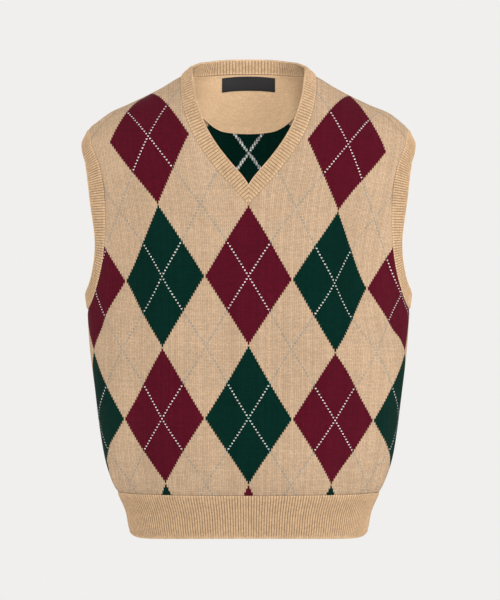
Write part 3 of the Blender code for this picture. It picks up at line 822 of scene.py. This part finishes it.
def hem_rib(side, name):
    """The rib under a panel. Its lower edge drops towards the sides and turns up at them."""
    dense = np.linspace(-np.pi / 2, np.pi / 2, HEM_POINTS)
    seam = surface(side, dense, 0.0)
    wanted, rib = rib_places(seam, HEM_RIB_PITCH, POINTS_ON_RIB)
    turn = np.interp(wanted, along(seam), dense)
    aside = np.abs(np.sin(turn))
    rise = HEM_SEAM_RISE * aside**HEM_RISE_SHARPNESS - HEM_SIDE_DROP * aside**2
    t = np.concatenate((steps(12) * 0.93, (0.945, 0.96, 0.975, 0.99, 1.0)))[:, None]
    height = RIB_SEAM + (HEM_EDGE + rise - RIB_SEAM) * t
    half_width, depth = body_size(side, height)
    x = half_width * np.sin(turn)
    y = side * depth_at(side, x, height)
    out = unit(np.stack((x / half_width**2, y / depth**2, 0 * x), -1))
    fold = fold_depth(side, turn + 0 * height, height)[..., None]
    flat = np.stack((x, y, height), -1) + out * fold
    flat[:, (0, -1), 1] += side * SEAM_GAP / 2
    flat[:, (0, -1), 0] = (half_width[:, 0] * np.array((-1, 1))[:, None]).T
    far = along(flat)
    strip = ribbed(flat, out, far, far[-1] - far, rib, **HEM_RIB)
    shell(name, [strip], TAN_RIB, TAN_RIB_INSIDE)


# ---------- inside the back neck
def neck_facing(grids):
    """The jersey facing that lines the back neck, laid on the inside of the back."""
    inner, out = (
        np.concatenate((grids[-1.0][k][:, :0:-1], grids[1.0][k]), axis=1) for k in (2, 5)
    )
    columns = close_steps(BACK_NECK_COLUMNS + SHOULDER_COLUMNS, (0, 1))
    columns = np.concatenate((-columns[:0:-1], columns))
    kept = np.abs(columns) <= BACK_NECK_COLUMNS
    columns, inner, out = columns[kept], inner[:, kept], out[:, kept]
    share = np.abs(columns) / (BACK_NECK_COLUMNS * FACING_WIDER)
    full = FACING_DEPTH * (1 - share**FACING_SQUARENESS) ** (1 / FACING_SQUARENESS)
    t = np.concatenate((steps(16) * 0.95, (0.965, 0.98, 0.99, 1.0)))
    points, outs = np.empty((2, len(t), len(columns), 3))
    for i in range(len(columns)):
        wanted = FACING_INSET + (full[i] - FACING_INSET) * t
        points[:, i], outs[:, i] = spread_on(inner[::-1, i], wanted, out[::-1, i])
    far = along(points)
    lip = BEAD_RELIEF * round_edge(np.clip((far[-1] - far) / FACING_RIM, 0, 1))
    base = points - outs * LINING_GAP
    face = base - outs * (FACING_WALL + lip)[..., None]
    fabric = pairs(points[..., 0] / FACING_WALE, -far / FACING_ROW)
    patch = (points, face, base, fabric, pairs(far, far[-1] - far))
    shell("neck_facing", [patch], TAN_JERSEY, TAN_JERSEY)
    return face, outs


def woven_label(face, outs):
    """The bare satin label, folded under at both ends, on the facing below the band."""
    x = np.linspace(-LABEL_WIDTH / 2, LABEL_WIDTH / 2, 45)
    x = np.sort(np.concatenate((x, x[[0, -1]] * 0.985, x[[0, -1]] * 0.96)))
    t = np.concatenate(((0.0, 0.02, 0.05), np.linspace(0.1, 0.9, 9), (0.95, 0.98, 1.0)))
    top = LABEL_INSET + LABEL_BOW * (face[0, :, 0] / LABEL_WIDTH * 2) ** 2
    points, normals = np.empty((2, len(t), len(x), 3))
    for j, share in enumerate(t):
        wanted = top + LABEL_HEIGHT * share
        row = [spread_on(face[:, i], wanted[i], outs[:, i]) for i in range(len(top))]
        line, normal = np.moveaxis(np.array(row), 1, 0)
        points[j], normals[j] = (read_columns(x, line[:, 0], table) for table in (line, normal))
    end = LABEL_WIDTH / 2 - np.abs(x)
    side = np.minimum(t, 1 - t)[:, None] * LABEL_HEIGHT
    puff = LABEL_PUFF * np.clip(side / LABEL_HEM, 0, 1) * np.clip(end / LABEL_FOLD, 0, 1)
    puff = puff * (0.6 + 0.4 * np.sin(90 * x))
    base = points - normals * LINING_GAP
    front = base - normals * (LABEL_WALL + puff)[..., None]
    threads = pairs(x / LABEL_THREAD, t[:, None] * LABEL_HEIGHT / LABEL_THREAD)
    patch = (points, front, base, threads, pairs(end, side))
    shell("woven_label", [patch], LABEL_SATIN, LABEL_SATIN)


# ---------- materials
def linear(red, green, blue):
    """A colour given as it shows on a screen, 0 to 255."""
    parts = (value / 255 for value in (red, green, blue))
    return tuple(v / 12.92 if v <= 0.04045 else ((v + 0.055) / 1.055) ** 2.4 for v in parts)


def set_inputs(node, values):
    for name, value in values.items():
        node.inputs[name].default_value = value


class Yarn:
    """A cloth's material, and a short way to its nodes."""

    def __init__(self, name, roughness=0.95, sheen=0.01, specular=0.02):
        self.material = bpy.data.materials.new(name)
        self.material.use_nodes = True
        self.shader = self.material.node_tree.nodes["Principled BSDF"]
        set_inputs(self.shader, {"Roughness": roughness, "Specular IOR Level": specular})
        set_inputs(self.shader, {"Sheen Weight": sheen, "Sheen Roughness": 0.55})
        self.column, self.row = self.map("fabric")
        self.from_seam, self.from_edge = self.map("trim")
        self.place = self.node("TexCoord", {})["Object"]

    def feed(self, socket, value):
        if isinstance(value, bpy.types.NodeSocket):
            self.material.node_tree.links.new(value, socket)
        elif isinstance(value, tuple):
            socket.default_value = (*value, 1.0)[: len(socket.default_value)]
        else:
            socket.default_value = value

    def node(self, kind, inputs, **settings):
        """The outputs of a new node with these settings and inputs."""
        node = self.material.node_tree.nodes.new("ShaderNode" + kind)
        for name, value in settings.items():
            setattr(node, name, value)
        for socket, value in inputs.items():
            self.feed(node.inputs[socket], value)
        return node.outputs

    def map(self, layer):
        place = self.node("UVMap", {}, uv_map=layer)["UV"]
        split = self.node("SeparateXYZ", {0: place})
        return split["X"], split["Y"]

    def math(self, operation, *values):
        return self.node("Math", dict(enumerate(values)), operation=operation)[0]

    def product(self, first, *others):
        for other in others:
            first = self.math("MULTIPLY", first, other)
        return first

    def between(self, value, low, high, start=0.0, end=1.0):
        """A smooth step from start, where the value is low, to end, where it is high."""
        inputs = dict(enumerate((value, low, high, start, end)))
        return self.node("MapRange", inputs, interpolation_type="SMOOTHSTEP")[0]

    def mix(self, factor, first, second):
        return self.node("Mix", {"Factor": factor, 6: first, 7: second}, data_type="RGBA")[2]

    def lit(self, colour, factor):
        """A colour made brighter or darker."""
        return self.node("VectorMath", {0: colour, "Scale": factor}, operation="SCALE")[0]

    def noise(self, scale):
        return self.node("TexNoise", {"Vector": self.place, "Scale": scale})["Fac"]

    def white_noise(self, across, up):
        """One value from 0 to 1 for each pair of numbers."""
        pair = self.node("CombineXYZ", {"X": across, "Y": up})[0]
        return self.node("TexWhiteNoise", {"Vector": pair}, noise_dimensions="2D")["Value"]

    def vary(self, value, share):
        """Values from 0 to 1 made a share more or less than 1."""
        return self.between(value, 0.0, 1.0, 1 - share, 1 + share)

    def patchy(self):
        """Lighter and darker places of a hand's breadth."""
        return self.between(self.noise(14.0), 0.3, 0.7, 0.97, 1.03)

    def uneven(self, wale, row, share):
        """Thick and thin places of the yarn, which runs along the rows, five stitches long."""
        start = self.math("MULTIPLY", self.white_noise(0.5, row), 5.0)
        run = self.math("FLOOR", self.math("DIVIDE", self.math("ADD", wale, start), 5.0))
        return self.vary(self.white_noise(run, row), share)

    def finish(self, colour, height, depth):
        """The material, with this colour, and with this height of yarn as its relief."""
        relief = {"Strength": 0.6, "Distance": depth, "Height": height}
        self.feed(self.shader.inputs["Normal"], self.node("Bump", relief)["Normal"])
        self.feed(self.shader.inputs["Base Color"], colour)
        return self.material

    def from_middle(self, value):
        """How far a value is from the middle of its own step of 1."""
        return self.math("ABSOLUTE", self.math("SUBTRACT", self.math("FRACT", value), 0.5))

    def wave(self, value, length):
        """1 where the value is 0, and again after each length."""
        return self.math("COSINE", self.math("MULTIPLY", value, 2 * math.pi / length))

    def hump(self, value):
        """1 in the middle of each step of 1, and 0 at its ends."""
        return self.math("ABSOLUTE", self.math("SINE", self.math("MULTIPLY", value, math.pi)))

    def stitch(self):
        """Knit stitches: the wale, the row, and how high each leg of the V stands."""
        m = self.math
        leg = m("SUBTRACT", self.from_middle(self.column), 0.25)
        up = m("SUBTRACT", self.row, m("MULTIPLY", leg, 2.0))
        row = m("FLOOR", up)
        off = m("SUBTRACT", m("SUBTRACT", up, row), 0.5)
        height = m("MULTIPLY", self.wave(off, 2.0), self.wave(leg, 1.0))
        return m("FLOOR", self.column), row, height

    def purl(self):
        """The wrong side: rows of bumps, half a wale aside in every other one."""
        m = self.math
        row = m("FLOOR", self.row)
        shift = m("MULTIPLY", m("MODULO", row, 2.0), 0.5)
        across = self.wave(m("ADD", self.column, shift), 1.0)
        up = self.wave(m("SUBTRACT", m("FRACT", self.row), 0.5), 2.0)
        height = m("MULTIPLY", up, m("ADD", m("MULTIPLY", across, 0.3), 0.7))
        return m("FLOOR", self.column), row, height


# The yarns' colours, set by comparing small areas of the render and the photo.
TAN = linear(167, 142, 116)
RIB_TAN = linear(162, 135, 106)
# The ribbing's own yarn, painted lighter on the bands' insides as painted light
RIB_INSIDE_TAN_PAINTED_LIGHTER = linear(190, 160, 127)
JERSEY_TAN = linear(224, 189, 150)
MAROON = linear(73, 12, 26)
GREEN = linear(2, 33, 26)
WHITE = linear(222, 217, 211)
PALE = linear(240, 240, 236)
GREY = linear(120, 125, 122)
BLACK = linear(36, 35, 37)


def argyle(name, side, inside):
    """Diamonds in two colours on tan, with thin lines of single stitches crossing them."""
    yarn = Yarn(name)
    wale, row, height = yarn.purl() if inside else yarn.stitch()
    m = yarn.math
    half = HALF_DIAMOND[side]
    shifted = m("ADD", wale, half)
    column = m("FLOOR", m("DIVIDE", shifted, 2 * half))
    level = m("FLOOR", m("DIVIDE", row, 4 * half))
    # How far a stitch is from the middle of its diamond: i wales, and j steps of two rows.
    i = m("ABSOLUTE", m("SUBTRACT", m("FLOORED_MODULO", shifted, 2 * half), half))
    up = m("SUBTRACT", m("FLOORED_MODULO", row, 4 * half), 2 * half)
    j = m("MULTIPLY", m("ABSOLUTE", up), 0.5)
    over = m("SUBTRACT", j, i)
    coloured = m("LESS_THAN", m("ADD", i, j), half)
    # The top levels have no diamonds in the even columns, but for the back's centre one, and
    # above the shoulder row the back is plain.
    aside = m("GREATER_THAN", m("ABSOLUTE", column), 1.5 if side == BACK else -0.5)
    even = m("LESS_THAN", m("FLOORED_MODULO", column, 2.0), 0.5)
    high = m("GREATER_THAN", level, 1.5 if side == FRONT else 0.5)
    coloured = m("MULTIPLY", coloured, m("SUBTRACT", 1.0, yarn.product(aside, even, high)))
    if side == BACK:
        coloured = m("MULTIPLY", coloured, m("LESS_THAN", row, SHOULDER_ROW))
    start = 0.0 if side == FRONT else 1.0
    odd = m("FLOORED_MODULO", m("ADD", m("ADD", column, level), start), 2.0)
    shade = yarn.product(
        yarn.patchy(),
        yarn.vary(yarn.white_noise(wale, row), 0.08),
        yarn.uneven(wale, row, 0.045),
        yarn.vary(yarn.white_noise(wale, 0.5), 0.055),
        yarn.vary(yarn.white_noise(0.5, row), 0.015),
        # Painted shade and highlight: wale edges, low yarn and seam sides dark, wale middles light
        yarn.between(yarn.from_middle(yarn.column), 0.2, 0.5, 1.08, 0.79),
        yarn.between(height, 0.0, 1.0, 0.54, 1.18),
        yarn.between(yarn.from_seam, 0.2, 2.2, 0.80, 1.0),
    )
    diamond = yarn.mix(odd, GREEN, MAROON)
    if inside:  # the line's yarn shows as bars, and its floats as short ticks that point up
        line = yarn.between(m("ABSOLUTE", over), 0.1, 0.8, 1.0, 0.0)
        above = yarn.product(over, 2.0, m("SIGN", up))
        tick = yarn.product(
            m("GREATER_THAN", above, 0.5),
            m("LESS_THAN", above, 2.6),
            m("LESS_THAN", yarn.from_middle(yarn.column), 0.14),
            m("GREATER_THAN", yarn.white_noise(wale, level), 0.45),
        )
        bar = yarn.between(yarn.white_noise(row, wale), 0.2, 0.4, 0.35, 1.0)
        bar = m("MAXIMUM", m("MULTIPLY", line, bar), m("MULTIPLY", tick, 0.8))
        diamond = yarn.mix(bar, diamond, PALE)
    else:
        line = m("COMPARE", over, 0.0, 0.26)
        diamond = yarn.mix(m("MULTIPLY", line, yarn.between(height, 0.25, 0.75)), diamond, WHITE)
    faint = m("MULTIPLY", line, yarn.between(yarn.noise(70.0), 0.32, 0.56, 0.60, 1.0))
    ground = yarn.mix(faint, TAN, GREY)
    colour = yarn.lit(yarn.mix(coloured, ground, diamond), shade)
    return yarn.finish(colour, height, 0.0006)


def ribbing(name, colour, aside=0.0):
    """Rib knit: a knit wale on each rib, painted shade in the groove between, and a bound-off
    edge with a faint painted highlight. The ribs of the wrong side lie aside, in the grooves
    of the right side."""
    yarn = Yarn(name)
    m = yarn.math
    yarn.column = m("ADD", yarn.column, aside)
    wale, row, height = yarn.stitch()
    groove = yarn.hump(yarn.column)
    body = yarn.between(yarn.from_edge, 1.1, 1.9)
    # Painted shade in the grooves between ribs, and a painted highlight on the bound-off edge
    ribs = m("MULTIPLY", yarn.between(groove, 0.0, 0.75, 0.56, 1.0), body)
    bead = m("MULTIPLY", m("SUBTRACT", 1.0, body), 1.05)
    linking_stitch_highlight = m("MULTIPLY", m("GREATER_THAN", groove, 0.6), m("LESS_THAN", yarn.from_seam, 1.9))
    # Painted highlight on the linking stitches, painted seam shadow, and painted stitch shade
    shade = yarn.product(
        m("ADD", ribs, bead),
        m("ADD", 1.0, m("MULTIPLY", linking_stitch_highlight, 0.22)),
        yarn.between(yarn.from_seam, 0.1, 0.9, 0.70, 1.0),
        yarn.between(height, 0.0, 1.0, 0.88, 1.06),
        yarn.vary(yarn.white_noise(wale, row), 0.11),
        yarn.patchy(),
    )
    return yarn.finish(yarn.lit(colour, shade), height, 0.0004)


def jersey(name):
    """Plain fine knit, with painted stitch shade and a painted highlight along its turned edge."""
    yarn = Yarn(name)
    wale, row, height = yarn.stitch()
    shade = yarn.product(
        # Painted shade where the yarn lies low, and painted highlight on the stitches' legs
        yarn.between(height, 0.0, 1.0, 0.78, 1.10),
        yarn.vary(yarn.white_noise(wale, row), 0.07),
        yarn.uneven(wale, row, 0.04),
        # Painted highlight along the turned edge
        yarn.between(yarn.from_edge, 1.0, 1.8, 1.10, 1.0),
    )
    return yarn.finish(yarn.lit(JERSEY_TAN, shade), height, 0.0003)


def satin(name):
    """A warp-faced satin: long fine floats, each row's ends moved two along."""
    yarn = Yarn(name, roughness=0.5, sheen=0.0, specular=0.25)
    m = yarn.math
    row = m("FLOOR", yarn.row)
    moved = m("ADD", yarn.column, m("MULTIPLY", row, 2.0))
    float_end = yarn.from_middle(m("DIVIDE", moved, 5.0))
    height = m("MULTIPLY", yarn.hump(yarn.row), yarn.between(float_end, 0.0, 0.2, 0.3, 1.0))
    # Painted shade between the floats and a painted highlight on them
    shade = yarn.between(height, 0.0, 1.0, 0.75, 1.15)
    return yarn.finish(yarn.lit(BLACK, shade), height, 0.00008)


ARGYLE = {side: argyle("argyle_" + word, side, False) for side, word in SIDES.items()}
ARGYLE_INSIDE = {side: argyle("argyle_inside_" + word, side, True) for side, word in SIDES.items()}
TAN_RIB = ribbing("tan_ribbing", RIB_TAN)
TAN_RIB_INSIDE = ribbing("tan_ribbing_inside", RIB_INSIDE_TAN_PAINTED_LIGHTER, aside=0.5)
TAN_JERSEY = jersey("tan_facing_jersey")
LABEL_SATIN = satin("bare_satin")

# ---------- the pieces
panel(FRONT, "front_panel")
back_grids = panel(BACK, "back_panel")
hem_rib(FRONT, "front_hem_rib")
hem_rib(BACK, "back_hem_rib")
neck_band()
armhole_band(1.0, "left_armhole_band")
armhole_band(-1.0, "right_armhole_band")
woven_label(*neck_facing(back_grids))

# ---------- light, floor and camera
world = bpy.data.worlds.new("pale_room")
world.use_nodes = True
paleness = {"Color": (*linear(240, 239, 237), 1.0), "Strength": 1.0}
set_inputs(world.node_tree.nodes["Background"], paleness)
bpy.context.scene.world = world
bpy.context.scene.view_settings.view_transform = "Standard"

MIDDLE = mathutils.Vector((0.0, 0.0, -0.32))  # of the garment, which each light faces
LIGHTS = (
    # name, place, size, power
    ("key", (2.6, -3.2, 1.3), 1.8, 66.0),
    ("over_the_camera", (0.25, -4.6, 1.2), 1.0, 150.0),
    ("left_side", (3.0, -0.9, -0.1), 1.6, 72.0),
    ("right_side", (-3.0, -0.9, -0.1), 1.6, 60.0),
    ("back_fill", (-1.5, 3.2, 1.2), 2.0, 120.0),
)
for name, place, size, power in LIGHTS:
    light = bpy.data.lights.new(name, "AREA")
    light.shape = "DISK"
    light.size = size
    light.energy = power
    item = add_object(name, light, place)
    item.rotation_euler = (MIDDLE - item.location).to_track_quat("-Z", "Y").to_euler()

FLOOR_RADIUS = 1.6
FLOOR_HEIGHT = -0.98  # below the garment, which hangs clear of it
floor_mesh = bpy.data.meshes.new("floor")
disc = bmesh.new()
bmesh.ops.create_circle(disc, cap_ends=True, segments=96, radius=FLOOR_RADIUS)
disc.to_mesh(floor_mesh)
disc.free()
paper = bpy.data.materials.new("pale_paper")
paper.use_nodes = True
matt = {"Base Color": (0.56, 0.555, 0.55, 1), "Roughness": 0.95}
set_inputs(paper.node_tree.nodes["Principled BSDF"], matt)
floor_mesh.materials.append(paper)
floor = add_object("floor", floor_mesh, (0.0, 0.0, FLOOR_HEIGHT))

CAMERA_DISTANCE = 4.5
SEEN_HEIGHT = 0.8334
lens = bpy.data.cameras.new("camera")
lens.sensor_fit = "VERTICAL"
lens.sensor_height = 24.0
lens.lens = lens.sensor_height * CAMERA_DISTANCE / SEEN_HEIGHT
camera = add_object("camera", lens, (0.002, -CAMERA_DISTANCE, -0.325))
camera.rotation_euler = (math.pi / 2, 0.0, 0.0)
bpy.context.scene.camera = camera
